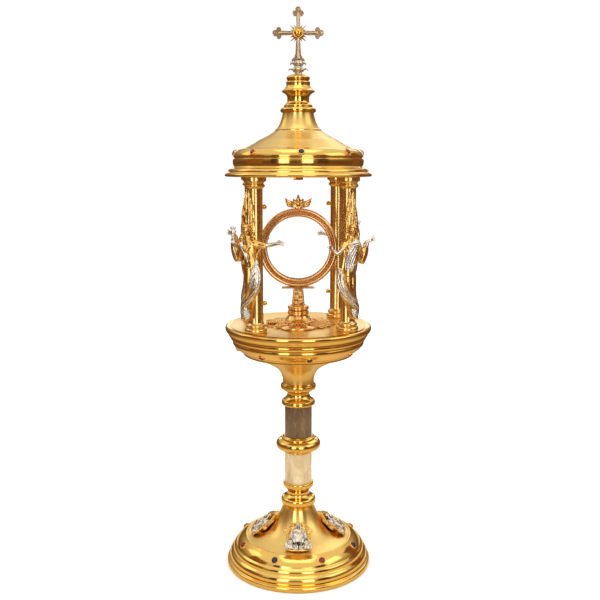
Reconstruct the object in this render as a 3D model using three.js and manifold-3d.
// A tower monstrance: a turned foot and stem with two stone sleeves, a platform with four columns and four
// angels, a hinged luna for the host under a bell-shaped canopy, and a budded cross on top.
// Millimetres, +Z up, origin at the centre of the base, front towards -Y.
import * as THREE from "three";
import { mergeVertices } from "three/addons/utils/BufferGeometryUtils.js";
import Module from "manifold-3d";

const wasm = await Module();
wasm.setup();

// Heights of the joints between the stacked pieces.
const FOOT_TOP = 80;
const CREAM_BOTTOM = 116;
const KNOP_BOTTOM = 159.5;
const KNOP_TOP = 182.5;
const COLLAR_BOTTOM = 226;
const PAN_BOTTOM = 258;
const PAN_TOP = 330;
const PLATE_TOP = 338.3;
const CEILING = 536;
const CANOPY_TOP = 618;
const FINIAL_TOP = 665.5;
const SOCKET_TOP = 683;
const CROSS_CENTRE = 717.5;
const CROSS_TOP = 750;

// Radii and general sizes.
const WALL = 2;
const CLEARANCE = 0.3;
const FOOT_RADIUS = 99.8;
const STONE_RADIUS = 18.6;
const KNOP_RADIUS = 30.5;
const PLATE_RADIUS = 98.3;
const CANOPY_RADIUS = 96.7;
const ROD_RADIUS = 4;
const ROD_BORE = ROD_RADIUS + CLEARANCE;
const BEZEL_RADIUS = 4.6;

// The tower: four columns on a rectangle that is turned a little on the platform.
const COLUMN_HALF_X = 59.4;
const COLUMN_HALF_Y = 48.35;
const TOWER_TURN = THREE.MathUtils.degToRad(5.6);
const COLUMN_HEIGHT = CEILING - PLATE_TOP;
const SHAFT_RADIUS = 9.7;
const SCREW_HEIGHTS = [36.7, 160.2];
const SCREW_RADIUS = 1.2;

// The luna: a glazed ring with a glazed door behind it, standing in a pedestal.
const LUNA_CENTRE = 441.9;
const LUNA_OPENING = 41.7;
const LUNA_RADIUS = 52.3;
const LUNA_HALF_DEPTH = 6.5;
const GLASS_RADIUS = 43.6;
const GLASS_THICKNESS = 1.2;
const FRONT_GLASS_Y = -4.5;
const REAR_GLASS_Y = 3.3;
const DOOR_RADIUS = 47.6;
const DOOR_FRONT_Y = 0.7;
const HINGE_X = 50.2;
const HINGE_Y = 9;
const PEDESTAL_BOTTOM = 341.5;
const SEAT_BOTTOM = 386.9;
const SEAT_TOP = 389.4;
const TONGUE = { halfX: 4, halfY: 1.8, bottom: 377 };

const ARC_STEPS = 2;
const SMALLEST_RISE = 0.9; // arcs that rise less than this are left straight
const WIDE_SIDES = 24;
const STEM_SIDES = 16;
const SHAFT_SIDES = 12;
const RING_SIDES = 24;
const SMALL_SIDES = 8;

const group = new THREE.Group();

// Materials.
const polishedGold = () => new THREE.MeshStandardMaterial({ color: 0xd8a33c, roughness: 0.18, metalness: 1 });
const satinGold = () => new THREE.MeshStandardMaterial({ color: 0xd9ad55, roughness: 0.38, metalness: 1 });
const roseGold = () => new THREE.MeshStandardMaterial({ color: 0xc98a55, roughness: 0.32, metalness: 1 });
const oldSilver = () => new THREE.MeshStandardMaterial({ color: 0xb9b3a4, roughness: 0.36, metalness: 1 });
const steel = () => new THREE.MeshStandardMaterial({ color: 0x9a9a98, roughness: 0.4, metalness: 1 });
const creamStone = () => new THREE.MeshStandardMaterial({ color: 0xe1cda5, roughness: 0.3, metalness: 0 });
const brownStone = () => new THREE.MeshStandardMaterial({ color: 0x6e5537, roughness: 0.25, metalness: 0 });
const blueStone = () => new THREE.MeshStandardMaterial({ color: 0x1c1a5e, roughness: 0.1, metalness: 0 });
const redStone = () => new THREE.MeshStandardMaterial({ color: 0x9c1a16, roughness: 0.1, metalness: 0 });
const clearGlass = () =>
  new THREE.MeshStandardMaterial({ color: 0xf2f6f4, roughness: 0.03, transparent: true, opacity: 0.25 });

/** Adds one named mesh to the model. */
function place(name, geometry, material) {
  const mesh = new THREE.Mesh(geometry, material);
  mesh.name = name;
  group.add(mesh);
  return mesh;
}

/**
 * Points along an outline of [radius, height, bulge] corners. A bulge rounds the way to its corner: it is the
 * rise of the arc in parts of its chord, positive where the surface swells and negative where it is hollow.
 */
function outline(corners) {
  const points = [];
  corners.forEach(([r, z, bulge], i) => {
    const [r0, z0] = corners[Math.max(i - 1, 0)];
    const chord = Math.hypot(r - r0, z - z0);
    if (bulge && Math.abs(bulge) * chord > SMALLEST_RISE) {
      const along = [(r - r0) / chord, (z - z0) / chord];
      const half = 2 * Math.atan(2 * bulge);
      const radius = chord / (2 * Math.sin(half));
      for (let k = 1; k < ARC_STEPS; k++) {
        const angle = half * ((2 * k) / ARC_STEPS - 1);
        const forth = chord / 2 + radius * Math.sin(angle);
        const out = radius * (Math.cos(angle) - Math.cos(half));
        points.push([r0 + along[0] * forth + along[1] * out, z0 + along[1] * forth - along[0] * out]);
      }
    }
    points.push([r, z]);
  });
  if (corners[0][0] > 0) points.push(points[0]);
  return points.map(([r, z]) => new THREE.Vector2(r, z));
}

/** A solid turned about Y. The outline runs upwards on its outer side. */
function turnedAboutY(corners, sides) {
  return new THREE.LatheGeometry(outline(corners), sides);
}

/** A solid turned about Z. */
function turned(corners, sides) {
  return turnedAboutY(corners, sides).rotateX(Math.PI / 2);
}

/** A tube with a bore, turned about Z, from one height to another. */
function sleeve(bore, radius, bottom, top, sides) {
  return turned([[bore, bottom], [radius, bottom], [radius, top], [bore, top]], sides);
}

/** A cylinder whose axis runs along Z from one height to another. */
function cylinder(radius, bottom, top, sides) {
  return new THREE.CylinderGeometry(radius, radius, top - bottom, sides)
    .rotateX(Math.PI / 2)
    .translate(0, 0, (bottom + top) / 2);
}

/** A box between two corners. */
function box(low, high) {
  const size = high.map((value, i) => value - low[i]);
  const centre = high.map((value, i) => (value + low[i]) / 2);
  return new THREE.BoxGeometry(...size).translate(...centre);
}

/** A plate cut to a flat outline in the XZ plane, from yFront back to yBack. */
function plate(shape, yFront, yBack, curveSegments = 6) {
  const options = { depth: yBack - yFront, bevelEnabled: false, curveSegments };
  return new THREE.ExtrudeGeometry(shape, options).rotateX(Math.PI / 2).translate(0, yBack, 0);
}

/** A round rod of one radius along a smooth curve through the points. */
function rod(points, radius, steps) {
  const path = new THREE.CatmullRomCurve3(points.map((p) => new THREE.Vector3(...p)));
  const section = new THREE.Shape();
  for (let i = 0; i < 6; i++) {
    const angle = (i * Math.PI) / 3;
    const [x, y] = [radius * Math.cos(angle), radius * Math.sin(angle)];
    if (i) section.lineTo(x, y);
    else section.moveTo(x, y);
  }
  return new THREE.ExtrudeGeometry(section, { steps, extrudePath: path, bevelEnabled: false });
}

/** The manifold solid of a closed geometry. */
function solidOf(geometry) {
  const bare = geometry.clone();
  bare.deleteAttribute("normal");
  bare.deleteAttribute("uv");
  const merged = mergeVertices(bare, 1e-4);
  return new wasm.Manifold(
    new wasm.Mesh({
      numProp: 3,
      vertProperties: new Float32Array(merged.attributes.position.array),
      triVerts: new Uint32Array(merged.index.array),
    }),
  );
}

/** The geometry of a manifold solid. */
function geometryOf(solid) {
  const mesh = solid.getMesh();
  const geometry = new THREE.BufferGeometry();
  geometry.setAttribute("position", new THREE.BufferAttribute(mesh.vertProperties, 3));
  geometry.setIndex(new THREE.BufferAttribute(mesh.triVerts, 1));
  geometry.computeVertexNormals();
  return geometry;
}

/** One solid made of several that overlap. */
function joined(geometries) {
  return geometryOf(geometries.map(solidOf).reduce((whole, next) => whole.add(next)));
}

/** A solid with others cut away from it. */
function cut(geometry, cutters) {
  return geometryOf(cutters.map(solidOf).reduce((whole, next) => whole.subtract(next), solidOf(geometry)));
}

// ---- Foot ----

const GEM_BAND_RADIUS = 81.9;
const GEM_BAND_HEIGHT = 33.8;
const GEM_BAND_SLOPE = THREE.MathUtils.degToRad(42);
const PLAQUE_SLOPE = THREE.MathUtils.degToRad(39);
const PLAQUE_RADIUS = 49.6;
const PLAQUE_HEIGHT = 56.2;
const PEG_RADIUS = 2;

/** Moves a geometry made about the origin, facing +Z, onto the foot's slope at an angle from the front. */
function ontoFoot(geometry, radius, height, slope, angle) {
  return geometry.rotateX(slope).translate(0, -radius, height).rotateZ(angle);
}

/** The hollow foot: stepped rim, gem band and a concave cone that carries the four plaques. */
function footShell() {
  const shell = turned(
    [
      [96.3, 0],
      [98.8, 0],
      [FOOT_RADIUS, 1.2],
      [FOOT_RADIUS, 4.6],
      [97.6, 7, 0.2],
      [95.4, 8],
      [96, 9.6],
      [92.4, 18.8, 0.18],
      [91, 20],
      [89, 26.2, 0.15],
      [87.2, 27.4],
      [76, 38, 0.08],
      [73.6, 39.6],
      [70.8, 38.6, 0.2],
      [43, 50, -0.07],
      [22, FOOT_TOP, -0.1],
      [ROD_BORE, FOOT_TOP],
      [ROD_BORE, FOOT_TOP - WALL],
      [20, FOOT_TOP - WALL],
      [41.5, 48, 0.1],
      [71, 36.4, 0.07],
      [74.5, 36.4],
      [85.4, 26],
      [93.4, 12],
      [93.4, 6],
      [96.3, 4],
    ],
    WIDE_SIDES,
  );
  const pegHoles = [0, 1, 2, 3].map((i) => {
    const hole = cylinder(PEG_RADIUS + CLEARANCE, -16, 6, SMALL_SIDES);
    return ontoFoot(hole, PLAQUE_RADIUS, PLAQUE_HEIGHT, PLAQUE_SLOPE, (i * Math.PI) / 2);
  });
  return cut(shell, pegHoles);
}

/** A cast relief plaque: a scrolled backing plate, a standing group of figures and a peg behind. */
function plaque(angle) {
  const backing = new THREE.Shape();
  backing.moveTo(-17, -22);
  backing.lineTo(17, -22);
  backing.quadraticCurveTo(20, -8, 17.5, 4);
  backing.quadraticCurveTo(14, 20, 4, 21);
  backing.lineTo(0, 23);
  backing.lineTo(-4, 21);
  backing.quadraticCurveTo(-14, 20, -17.5, 4);
  backing.quadraticCurveTo(-20, -8, -17, -22);
  const base = new THREE.ExtrudeGeometry(backing, { depth: 2.6, bevelEnabled: false, curveSegments: 4 });
  const figures = [[-8, 3, 12], [0, 8, 14], [8, 3, 12]].map(([x, top, half]) =>
    new THREE.SphereGeometry(1, 6, 4).scale(5.6, half, 5).translate(x, top - half + 5, 2.4),
  );
  const peg = cylinder(PEG_RADIUS, -11, 1, SMALL_SIDES);
  return ontoFoot(joined([base, ...figures, peg]), PLAQUE_RADIUS, PLAQUE_HEIGHT, PLAQUE_SLOPE, angle);
}

/** A cabochon in its bezel. */
function gem(angle) {
  const stone = turned([[0, 0.1], [BEZEL_RADIUS, 0.1], [BEZEL_RADIUS, 1.5], [0, 3.1]], SMALL_SIDES);
  return ontoFoot(stone, GEM_BAND_RADIUS, GEM_BAND_HEIGHT, GEM_BAND_SLOPE, angle);
}

function addFoot() {
  place("foot_shell", footShell(), satinGold());
  place("foot_base_plate", turned([[0, 0], [96, 0], [96, WALL], [0, WALL]], WIDE_SIDES), steel());
  ["front", "right", "back", "left"].forEach((side, i) =>
    place(`foot_plaque_${side}`, plaque((i * Math.PI) / 2), oldSilver()),
  );
  for (let i = 0; i < 8; i++) {
    const angle = ((2 * i - 1) * Math.PI) / 8;
    place(`foot_gem_${i + 1}`, gem(angle), i % 2 ? redStone() : blueStone());
  }
}

// ---- Stem ----

/** The cup between the foot and the lower stone. */
function footCollar() {
  return turned(
    [
      [ROD_BORE, FOOT_TOP],
      [20.2, FOOT_TOP],
      [20.6, 83],
      [23.9, 86.6, 0.15],
      [23.9, 90],
      [21, 94, 0.2],
      [15.2, 98, -0.08],
      [14.8, 100.4],
      [19.4, 108.2, -0.12],
      [21, 110.4],
      [21, 113.8],
      [19.8, CREAM_BOTTOM, 0.2],
      [ROD_BORE, CREAM_BOTTOM],
    ],
    STEM_SIDES,
  );
}

/** The ring knop between the two stones: a wide torus between small beads. */
function ringKnop() {
  return turned(
    [
      [ROD_BORE, KNOP_BOTTOM],
      [19.4, KNOP_BOTTOM],
      [20.8, 161.4, 0.3],
      [22.4, 162.2],
      [25, 163.4],
      [KNOP_RADIUS, 170.4, 0.19],
      [25, 177.4, 0.19],
      [22.6, 178.2],
      [21.6, 180.8, 0.35],
      [19.6, KNOP_TOP],
      [ROD_BORE, KNOP_TOP],
    ],
    STEM_SIDES,
  );
}

/** The waisted collar between the upper stone and the platform. */
function upperCollar() {
  return turned(
    [
      [ROD_BORE, COLLAR_BOTTOM],
      [20.4, COLLAR_BOTTOM],
      [22.7, 230.4, 0.25],
      [21, 233.6, 0.2],
      [15.1, 241, -0.1],
      [15.1, 242.4],
      [19.4, 246.6, -0.14],
      [21.6, 248.2],
      [24, 252.2, 0.18],
      [22.4, 256.2, 0.18],
      [21.4, PAN_BOTTOM],
      [ROD_BORE, PAN_BOTTOM],
    ],
    STEM_SIDES,
  );
}

/** A hexagonal nut on the object's axis. */
function nut(bore, acrossCorners, bottom, top) {
  return cut(cylinder(acrossCorners / 2, bottom, top, 6), [cylinder(bore, bottom - 1, top + 1, 12)]);
}

function addStem() {
  place("foot_collar", footCollar(), polishedGold());
  place("cream_sleeve", sleeve(ROD_BORE, STONE_RADIUS, CREAM_BOTTOM, KNOP_BOTTOM, STEM_SIDES), creamStone());
  place("ring_knop", ringKnop(), polishedGold());
  place("brown_sleeve", sleeve(ROD_BORE, STONE_RADIUS, KNOP_TOP, COLLAR_BOTTOM, STEM_SIDES), brownStone());
  place("upper_collar", upperCollar(), polishedGold());
  const washerTop = FOOT_TOP - WALL;
  const floorTop = PAN_BOTTOM + 3;
  place("tie_rod", cylinder(ROD_RADIUS, washerTop - 10, floorTop + 8, 12), steel());
  place("tie_rod_washer", sleeve(ROD_BORE, 9, washerTop - 1.5, washerTop, 12), steel());
  place("tie_rod_foot_nut", nut(ROD_BORE, 15, washerTop - 8, washerTop - 1.5), steel());
  place("tie_rod_pan_nut", nut(ROD_BORE, 15, floorTop, floorTop + 6.5), steel());
}

// ---- Platform ----

/** The hollow pan: a trumpet on the stem, a gem band and stepped mouldings up to the plate. */
function platformPan() {
  return turned(
    [
      [ROD_BORE, PAN_BOTTOM],
      [21.2, PAN_BOTTOM],
      [21.2, 260],
      [33, 281, -0.13],
      [72, 298, -0.04],
      [74.4, 299],
      [74.4, 301.2],
      [75.6, 302.6],
      [86.9, 311.6, 0.05],
      [88, 318, 0.2],
      [87, 318.8],
      [89.4, 319.4],
      [91.8, 324.2, 0.2],
      [91, 325],
      [94.2, 325.6],
      [96, PAN_TOP, -0.15],
      [93.4, PAN_TOP],
      [85.4, 318],
      [85.4, 313.2],
      [73.4, 304],
      [72, 300.2],
      [32, 283.6, 0.04],
      [19.2, 262, 0.12],
      [19.2, 261],
      [ROD_BORE, 261],
    ],
    WIDE_SIDES,
  );
}

/** The plate that closes the pan, with a round lip. */
function platformPlate() {
  const underside = PLATE_TOP - 3;
  return turned(
    [
      [3 + CLEARANCE, underside],
      [91, underside],
      [93.6, PAN_TOP],
      [96.4, PAN_TOP],
      [PLATE_RADIUS, 333.4, 0.12],
      [97.4, 337.4, 0.15],
      [95.6, PLATE_TOP],
      [3 + CLEARANCE, PLATE_TOP],
    ],
    WIDE_SIDES,
  );
}

function addPlatform() {
  place("platform_pan", platformPan(), satinGold());
  place("platform_plate", platformPlate(), polishedGold());
}

// ---- Columns and angels ----

/**
 * The two patterns of angel, with x towards the luna. `arm` is the side of the arm that reaches towards it,
 * `screwTurn` the turn of its screws in degrees. The arms are shoulder, elbow and hand, `wings` the pair's
 * middle and half width, and `robe` its [height, middle, half width] stations.
 */
const leftHanded = {
  arm: 1,
  screwTurn: -37,
  reaching: [[6, -18, 116], [22, -13, 112], [38, 5, 115]],
  raised: [[-6, -18, 116], [-13, -17.5, 95], [-21.5, -19.5, 136]],
  wings: [-3.6, 10.4],
  robe: [[18.7, -3, 6.6], [35, -1.4, 8], [44.5, 1, 9], [58.6, 5.4, 11.6], [72.6, 6, 12], [96, 4.4, 8.4]],
};
const rightHanded = {
  arm: -1,
  screwTurn: 0,
  reaching: [[6, -18, 116], [17, -18, 104], [28, -14, 113]],
  raised: [[-6, -18, 116], [-12.5, -17, 92], [-26, -18, 121]],
  wings: [-1.4, 8],
  robe: [[18.7, -4, 4.8], [35, -2.2, 7], [44.5, 3, 10.4], [58.6, 4.6, 11.8], [72.6, 4.6, 12], [96, 4.8, 9]],
};

/** The four corners of the tower, each with its column's place and its angel's pattern and turn. */
const corners = [
  { name: "front_left", x: -1, y: -1, facing: -28, ...leftHanded },
  { name: "front_right", x: 1, y: -1, facing: 10, ...rightHanded },
  { name: "back_right", x: 1, y: 1, facing: 127, ...leftHanded },
  { name: "back_left", x: -1, y: 1, facing: 200, ...rightHanded },
].map((corner) => {
  const at = new THREE.Vector2(corner.x * COLUMN_HALF_X, corner.y * COLUMN_HALF_Y);
  at.rotateAround(new THREE.Vector2(), TOWER_TURN);
  const turn = THREE.MathUtils.degToRad(corner.facing);
  return { ...corner, at, turn };
});

/** Moves a geometry from a column's own frame, with the angel towards -Y, to its corner of the tower. */
function toCorner(geometry, corner) {
  return geometry.rotateZ(corner.turn).translate(corner.at.x, corner.at.y, PLATE_TOP);
}

/** A rod along Y from yFront to yBack. */
function crossRod(radius, yFront, yBack, height) {
  return new THREE.CylinderGeometry(radius, radius, yBack - yFront, SMALL_SIDES)
    .translate(0, (yFront + yBack) / 2, height);
}

/** Two rods on the lines of a column's screws. */
function onScrewLine(radius, yFront, yBack, screwTurn) {
  const turn = THREE.MathUtils.degToRad(screwTurn);
  return SCREW_HEIGHTS.map((height) => crossRod(radius, yFront, yBack, height).rotateZ(turn));
}

function column({ screwTurn }) {
  const h = COLUMN_HEIGHT;
  const shaft = turned(
    [
      [0, 0],
      [13.3, 0],
      [13.3, 5.4, 0.25],
      [11.4, 6.4],
      [12.2, 10.4, 0.3],
      [SHAFT_RADIUS, 14, -0.15],
      [SHAFT_RADIUS, h - 14],
      [11.9, h - 12.4],
      [11.9, h - 9.2, 0.25],
      [10.8, h - 8.2],
      [14.5, h - 5, -0.15],
      [14.5, h],
      [0, h],
    ],
    SHAFT_SIDES,
  );
  return cut(shaft, onScrewLine(SCREW_RADIUS + CLEARANCE, -20, 20, screwTurn));
}

/** The outline of a pair of tall folded wings, one above the other's edge, seen from the front. */
function wingPair() {
  const shape = new THREE.Shape();
  shape.moveTo(0, 62);
  shape.quadraticCurveTo(9.5, 70, 10.8, 104);
  shape.quadraticCurveTo(11.4, 146, 7.4, 183);
  shape.quadraticCurveTo(2.4, 172, 0, 152);
  shape.quadraticCurveTo(-2.4, 172, -7.4, 183);
  shape.quadraticCurveTo(-11.4, 146, -10.8, 104);
  shape.quadraticCurveTo(-9.5, 70, 0, 62);
  return shape;
}

/** A robed angel in its column's frame: one arm reaches out sideways, the other is raised from the elbow. */
function angel({ arm, screwTurn, reaching, raised, wings, robe }) {
  const bodyY = -17.6;
  const stations = [...robe, [112, 2.4, 9], [118, 0.6, 8.4], [122, -0.6, 3.2], [126, -1, 3], [126, -1, 0]];
  const outlineOfRobe = [[0, robe[0][0]], ...stations.map(([height, , half]) => [half, height])];
  const body = turned(outlineOfRobe, SMALL_SIDES).scale(1, 0.7, 1);
  const position = body.getAttribute("position");
  for (let i = 0; i < position.count; i++) {
    position.setX(i, position.getX(i) + middleAt(stations, position.getZ(i)));
  }
  body.translate(0, bodyY, 0);
  const head = new THREE.SphereGeometry(8.4, 8, 6).scale(0.92, 0.95, 1).translate(-1.2, bodyY, 132.4);
  const [middle, half] = wings;
  const feathers = plate(wingPair(), -14.2, -10.8, 3).scale(half / 10.8, 1, 1).translate(middle, 0, 0);
  const arms = [rod(reaching, 3.2, 4), rod(raised, 3.4, 4)];
  const facing = solidOf(joined([body, head, feathers, ...arms]));
  const figure = geometryOf(arm > 0 ? facing : facing.mirror([1, 0, 0]));
  const bosses = onScrewLine(3.4, -16, -SHAFT_RADIUS - CLEARANCE, screwTurn);
  const holes = onScrewLine(SCREW_RADIUS + CLEARANCE, -14.6, 0, screwTurn);
  return cut(joined([figure, ...bosses]), holes);
}

/** The robe's middle at a height, between its [height, middle, half width] stations. */
function middleAt(stations, height) {
  const next = Math.max(1, stations.findIndex((station) => station[0] >= height - 1e-6));
  const [low, high] = [stations[next - 1], stations[next]];
  const share = (height - low[0]) / (high[0] - low[0] || 1);
  return low[1] + (high[1] - low[1]) * share;
}

/** A screw with a domed knob, through the column from its inner side into the angel's boss. */
function angelScrew(height, screwTurn) {
  const head = turnedAboutY([[0, 0], [2.2, 0], [3.1, 2.6, 0.15], [0, 5.6, 0.28]], SMALL_SIDES)
    .translate(0, SHAFT_RADIUS + CLEARANCE, height);
  const shank = crossRod(SCREW_RADIUS, -14.2, SHAFT_RADIUS + 2, height);
  return joined([head, shank]).rotateZ(THREE.MathUtils.degToRad(screwTurn));
}

function addTower() {
  for (const corner of corners) {
    place(`column_${corner.name}`, toCorner(column(corner), corner), polishedGold());
    place(`angel_${corner.name}`, toCorner(angel(corner), corner), satinGold());
    SCREW_HEIGHTS.forEach((height, i) => {
      const screw = toCorner(angelScrew(height, corner.screwTurn), corner);
      place(`angel_screw_${corner.name}_${i ? "upper" : "lower"}`, screw, polishedGold());
    });
  }
}

// ---- Luna ----

const HINGE_PIN_RADIUS = 0.9;
const BARREL_RADIUS = 2.4;
const LATCH = { x: -50.2, radius: 2, length: 9.4, front: LUNA_HALF_DEPTH + CLEARANCE };

/** Moves a geometry made about the origin to the luna's centre. */
const toLuna = (geometry) => geometry.translate(0, 0, LUNA_CENTRE);

/** A hinge barrel between two heights from the luna's centre, with a leaf that joins it to its ring. */
function barrel(bottom, top, leafLow, leafHigh) {
  return [
    cylinder(BARREL_RADIUS, bottom, top, 10).translate(HINGE_X, HINGE_Y, 0),
    box([leafLow[0], leafLow[1], bottom], [leafHigh[0], leafHigh[1], top]),
  ];
}

/** A pin on the door's hinge line, between two heights from the luna's centre. */
function hingePin(radius, bottom, top) {
  return cylinder(radius, bottom, top, SMALL_SIDES).translate(HINGE_X, HINGE_Y, 0);
}

/** The luna's ring: two rims with a groove between, a rebate for the door, hinge barrels and a tongue. */
function lunaRing() {
  const ring = turnedAboutY(
    [
      [LUNA_OPENING, -6],
      [45.4, -6, 0.2],
      [46.2, -4.6],
      [47.6, -4.6],
      [48.2, -LUNA_HALF_DEPTH],
      [LUNA_RADIUS, -5.4, 0.25],
      [LUNA_RADIUS, LUNA_HALF_DEPTH],
      [48.2, LUNA_HALF_DEPTH],
      [48.2, DOOR_FRONT_Y - CLEARANCE],
      [GLASS_RADIUS + CLEARANCE, DOOR_FRONT_Y - CLEARANCE],
      [GLASS_RADIUS + CLEARANCE, FRONT_GLASS_Y - 0.1],
      [LUNA_OPENING, FRONT_GLASS_Y - 0.1],
    ],
    RING_SIDES,
  );
  const low = LUNA_HALF_DEPTH - 1.5;
  const leaf = [[48.6, low], [HINGE_X + 1.2, HINGE_Y]];
  const barrels = [barrel(6.3, 11, ...leaf), barrel(-11, -6.3, ...leaf)].flat();
  const tongue = box(
    [-TONGUE.halfX, -TONGUE.halfY, TONGUE.bottom - LUNA_CENTRE],
    [TONGUE.halfX, TONGUE.halfY, -GLASS_RADIUS - 4],
  );
  const pinHole = hingePin(HINGE_PIN_RADIUS + CLEARANCE, -9.6, 20);
  const latchHole = crossRod(1.3, 2.6, 10, 0).translate(LATCH.x, 0, 0);
  return toLuna(cut(joined([ring, tongue, ...barrels]), [pinHole, latchHole]));
}

/** The door: a ring with a glass rebate and a hinge barrel between the luna ring's two. */
function doorRing() {
  const ring = turnedAboutY(
    [
      [GLASS_RADIUS + CLEARANCE, DOOR_FRONT_Y],
      [DOOR_RADIUS, DOOR_FRONT_Y],
      [DOOR_RADIUS, LUNA_HALF_DEPTH],
      [LUNA_OPENING, LUNA_HALF_DEPTH],
      [LUNA_OPENING, REAR_GLASS_Y + GLASS_THICKNESS + 0.1],
      [GLASS_RADIUS + CLEARANCE, REAR_GLASS_Y + GLASS_THICKNESS + 0.1],
    ],
    RING_SIDES,
  );
  const rearOfRing = LUNA_HALF_DEPTH + CLEARANCE;
  const leaf = [[45, rearOfRing - 0.6], [47.2, HINGE_Y + 1]];
  const arm = box([45, rearOfRing + 0.3, -6], [HINGE_X, HINGE_Y + 1, 6]);
  const whole = joined([ring, arm, ...barrel(-6, 6, ...leaf)]);
  return toLuna(cut(whole, [hingePin(HINGE_PIN_RADIUS + CLEARANCE, -20, 20)]));
}

/** A round pane. */
function pane(front) {
  const back = front + GLASS_THICKNESS;
  const disc = [[0, front], [GLASS_RADIUS, front], [GLASS_RADIUS, back], [0, back]];
  return toLuna(turnedAboutY(disc, RING_SIDES));
}

/** The turning latch behind the luna ring's left side, hanging down when it is released. */
function doorLatch() {
  const { x, radius, length, front } = LATCH;
  const back = front + 1.8;
  const head = crossRod(radius, front, back + 1.4, 0).translate(x, 0, 0);
  const shank = crossRod(1, 3, front + 1, 0).translate(x, 0, 0);
  const tongue = box([x - 1.8, front, -length], [x + 1.8, back, 0]);
  return toLuna(joined([head, shank, tongue]));
}

/** The crest on top of the ring: a five-rayed centre between two spread wings. */
function lunaCrest() {
  const bottom = LUNA_CENTRE + LUNA_RADIUS;
  const wing = [[6, 0], [7, 3.4], [17.4, 6.2], [18, 13], [12.6, 9.8], [10.8, 15.4], [7, 10.6]];
  const half = [...wing, [4.6, 16.8], [2.6, 13]];
  const shape = new THREE.Shape();
  shape.moveTo(0, bottom + 20.1);
  [...half].reverse().forEach(([x, z]) => shape.lineTo(-x, bottom + z));
  half.forEach(([x, z]) => shape.lineTo(x, bottom + z));
  shape.lineTo(0, bottom + 20.1);
  return plate(shape, -2, 2);
}

/** The pedestal: a bell, a double ring, a tapered block with the tongue's socket, and the ring's seat. */
function lunaPedestal() {
  const socket = TONGUE.bottom - 0.5;
  const turnedPart = turned(
    [
      [0, 329],
      [3, 329],
      [3, PEDESTAL_BOTTOM],
      [19.4, PEDESTAL_BOTTOM],
      [18, 344, 0.1],
      [11.6, 351.6, -0.14],
      [13.8, 352],
      [13.8, 357.6, 0.12],
      [12.6, 358.2],
      [13.8, 358.8],
      [13.8, 364, 0.12],
      [8.4, 364.8],
      [0, 364.8],
    ],
    16,
  );
  const taper = new THREE.CylinderGeometry(6.2 * Math.SQRT2, 8.4 * Math.SQRT2, SEAT_BOTTOM - 364 + 0.5, 4, 1)
    .rotateX(Math.PI / 2)
    .rotateZ(Math.PI / 4)
    .translate(0, 0, (SEAT_BOTTOM + 0.5 + 364) / 2);
  const seat = box([-22, -6.5, SEAT_BOTTOM], [22, 6.5, SEAT_TOP]);
  const slot = box(
    [-TONGUE.halfX - CLEARANCE, -TONGUE.halfY - CLEARANCE, socket],
    [TONGUE.halfX + CLEARANCE, TONGUE.halfY + CLEARANCE, SEAT_TOP + 1],
  );
  const bed = LUNA_RADIUS + CLEARANCE;
  const ringBed = turnedAboutY([[0, -20], [bed, -20], [bed, 20], [0, 20]], RING_SIDES);
  return cut(joined([turnedPart, taper, seat]), [slot, toLuna(ringBed)]);
}

/** The cast foot of the luna: a low lobed plate of leaves and ears round the pedestal. */
function lunaFoot() {
  const lobed = (angle) => 41 + 9 * Math.cos(2 * angle) ** 2 + 1.6 * Math.cos(12 * angle);
  const shape = new THREE.Shape();
  const count = 48;
  for (let i = 0; i < count; i++) {
    const angle = (i * 2 * Math.PI) / count;
    const [x, y] = [lobed(angle) * Math.cos(angle), lobed(angle) * Math.sin(angle)];
    if (i) shape.lineTo(x, y);
    else shape.moveTo(x, y);
  }
  const flat = new THREE.ExtrudeGeometry(shape, { depth: PEDESTAL_BOTTOM - PLATE_TOP, bevelEnabled: false });
  return cut(flat.translate(0, 0, PLATE_TOP), [cylinder(3 + CLEARANCE, 330, 350, SMALL_SIDES)]);
}

function addLuna() {
  place("luna_foot", lunaFoot(), roseGold());
  place("luna_pedestal", lunaPedestal(), roseGold());
  place("luna_pedestal_nut", nut(3 + CLEARANCE, 11, PLATE_TOP - 8, PLATE_TOP - 3), steel());
  place("luna_ring", lunaRing(), roseGold());
  place("luna_crest", lunaCrest(), roseGold());
  place("luna_front_glass", pane(FRONT_GLASS_Y), clearGlass());
  place("door_ring", doorRing(), roseGold());
  place("door_glass", pane(REAR_GLASS_Y), clearGlass());
  place("door_latch", doorLatch(), roseGold());
  place("door_hinge_pin", toLuna(hingePin(HINGE_PIN_RADIUS, -9.4, 11.6)), steel());
}

// ---- Canopy, finial and cross ----

/** The canopy's bell: a flanged drum, a gem band and a concave roof in two sweeps. */
function canopy() {
  return turned(
    [
      [92.3, CEILING],
      [95, CEILING],
      [CANOPY_RADIUS, 538.4, 0.15],
      [93.6, 541.6, 0.12],
      [92.4, 542.2],
      [90.2, 546.4, 0.12],
      [86, 548.2, -0.1],
      [84.8, 549.6],
      [85.4, 558.8],
      [84.2, 559.6],
      [84.2, 561],
      [85.7, 561.8],
      [72, 571.8, 0.2],
      [70.4, 572.8],
      [30.4, 594.6, -0.06],
      [30.4, 596],
      [28.6, 597],
      [20.4, 614, -0.1],
      [20.4, CANOPY_TOP],
      [ROD_BORE, CANOPY_TOP],
      [ROD_BORE, CANOPY_TOP - WALL],
      [18.3, CANOPY_TOP - WALL],
      [18.3, 612],
      [27.2, 595],
      [70, 570.2, 0.07],
      [82.2, 562],
      [82.2, 549],
      [92.3, 538.8],
    ],
    WIDE_SIDES,
  );
}

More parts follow.
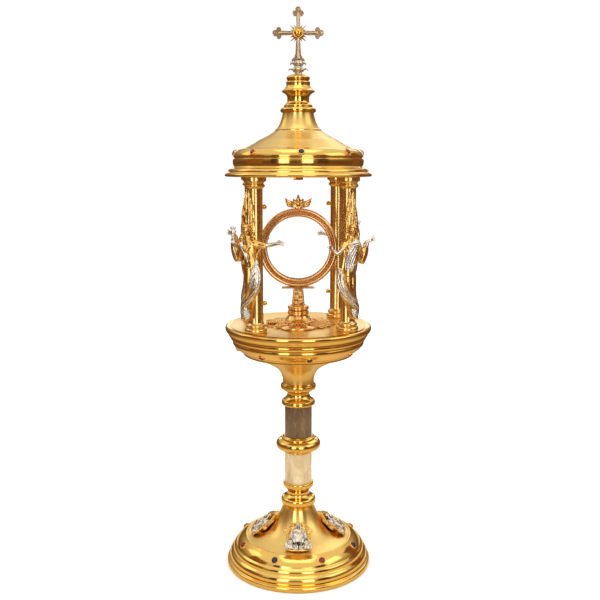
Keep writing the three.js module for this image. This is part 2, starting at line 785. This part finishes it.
/** The collar between the canopy and the cross: two flanges on a waisted neck. */
function finialCollar() {
  return turned(
    [
      [0, CANOPY_TOP + 24],
      [ROD_BORE, CANOPY_TOP + 24],
      [ROD_BORE, CANOPY_TOP],
      [21, CANOPY_TOP],
      [23.4, 620.6, 0.2],
      [20.6, 624, 0.2],
      [18.6, 625],
      [17.6, 628, 0.2],
      [14.4, 632, -0.12],
      [14.4, 637.4],
      [20.4, 643.4, -0.12],
      [21.4, 645.4, 0.25],
      [16.6, 650, -0.1],
      [15.6, 651.4],
      [15.4, 654],
      [14.6, 657.4, 0.25],
      [13.6, 658.6],
      [14.8, 660, 0.2],
      [14, 663.4, 0.25],
      [8.6, FINIAL_TOP, 0.1],
      [0, FINIAL_TOP],
    ],
    STEM_SIDES,
  );
}

/** The leafy socket under the cross: two whorls of leaves round a stem. */
function crossSocket() {
  const stem = turned(
    [
      [0, FINIAL_TOP],
      [5, FINIAL_TOP],
      [4.6, 668],
      [6.4, 674, 0.1],
      [5.2, 677],
      [6.6, 680],
      [5.6, SOCKET_TOP],
      [0, SOCKET_TOP],
    ],
    12,
  );
  const reach = 12.8;
  const whorl = (height, turn) =>
    [0, 1, 2, 3, 4, 5].map((i) =>
      new THREE.ConeGeometry(2, reach - 3, 4)
        .rotateZ(-Math.PI / 2)
        .translate(reach / 2 + 1.5, 0, 0)
        .rotateY(-0.12)
        .rotateZ(turn + (i * Math.PI) / 3)
        .translate(0, 0, height),
    );
  const leaves = [...whorl(670.6, 0), ...whorl(678, Math.PI / 6)];
  return joined([stem, ...leaves]);
}

/** The budded cross: tapering arms with a trefoil at each end, and a spreading foot. */
function cross() {
  const half = { x: 33, z: CROSS_TOP - CROSS_CENTRE };
  const thickness = 2.4;
  const disc = (x, z, radius) =>
    new THREE.CylinderGeometry(radius, radius, 2 * thickness, 12).translate(x, 0, CROSS_CENTRE + z);
  const bar = (x, z) => box([-x, -thickness, CROSS_CENTRE - z], [x, thickness, CROSS_CENTRE + z]);
  const trefoils = [[1, 0], [-1, 0], [0, 1]].flatMap(([ux, uz]) => {
    const reach = ux ? half.x : half.z;
    const lobe = 3.7;
    return [
      disc(ux * (reach - lobe), uz * (reach - lobe), lobe),
      disc(ux * (reach - 8.2) + uz * 3.9, uz * (reach - 8.2) + ux * 3.9, lobe - 0.3),
      disc(ux * (reach - 8.2) - uz * 3.9, uz * (reach - 8.2) - ux * 3.9, lobe - 0.3),
    ];
  });
  const spread = new THREE.Shape();
  spread.moveTo(-8.5, SOCKET_TOP);
  spread.lineTo(8.5, SOCKET_TOP);
  spread.quadraticCurveTo(3.4, 688, 2.6, 702);
  spread.lineTo(-2.6, 702);
  spread.quadraticCurveTo(-3.4, 688, -8.5, SOCKET_TOP);
  return joined([
    bar(half.x - 9, 3),
    bar(3, half.z - 9),
    plate(spread, -thickness, thickness, 4),
    ...trefoils,
  ]);
}

/** The rays behind the crossing: three points on each diagonal, on one thin plate. */
function crossRays() {
  const shape = new THREE.Shape();
  const rays = 12;
  const reaches = [11.4, 14, 11.4];
  for (let i = 0; i < rays; i++) {
    const quarter = Math.floor(i / 3);
    const angle = ((quarter * 90 + 45 + ((i % 3) - 1) * 17) * Math.PI) / 180;
    const gap = angle + THREE.MathUtils.degToRad(i % 3 === 2 ? 28 : 8.5);
    const reach = reaches[i % 3];
    const tip = [reach * Math.cos(angle), reach * Math.sin(angle)];
    if (i) shape.lineTo(...tip);
    else shape.moveTo(...tip);
    shape.lineTo(6 * Math.cos(gap), 6 * Math.sin(gap));
  }
  return plate(shape, 2.4, 3.4).translate(0, 0, CROSS_CENTRE);
}

/** The ringed boss on the crossing's front. */
function crossMedallion() {
  return turnedAboutY([[0, 0], [6.9, 0], [6.9, 1.4], [5.8, 1.6], [0, 3.8, 0.12]], 16)
    .rotateX(Math.PI)
    .translate(0, -2.4, CROSS_CENTRE);
}

function addCanopy() {
  const nutBottom = CEILING - 4.6;
  place("canopy", canopy(), satinGold());
  place("canopy_ceiling", sleeve(ROD_BORE, 92, CEILING, CEILING + 2.5, WIDE_SIDES), satinGold());
  place("canopy_rod", cylinder(ROD_RADIUS, nutBottom, CANOPY_TOP + 23, 12), steel());
  place("canopy_nut", nut(ROD_BORE, 13, nutBottom, CEILING), polishedGold());
  place("finial_collar", finialCollar(), polishedGold());
  place("cross_socket", crossSocket(), oldSilver());
  place("cross", cross(), satinGold());
  place("cross_rays", crossRays(), oldSilver());
  place("cross_medallion", crossMedallion(), polishedGold());
}

addFoot();
addStem();
addPlatform();
addTower();
addLuna();
addCanopy();

export default group;
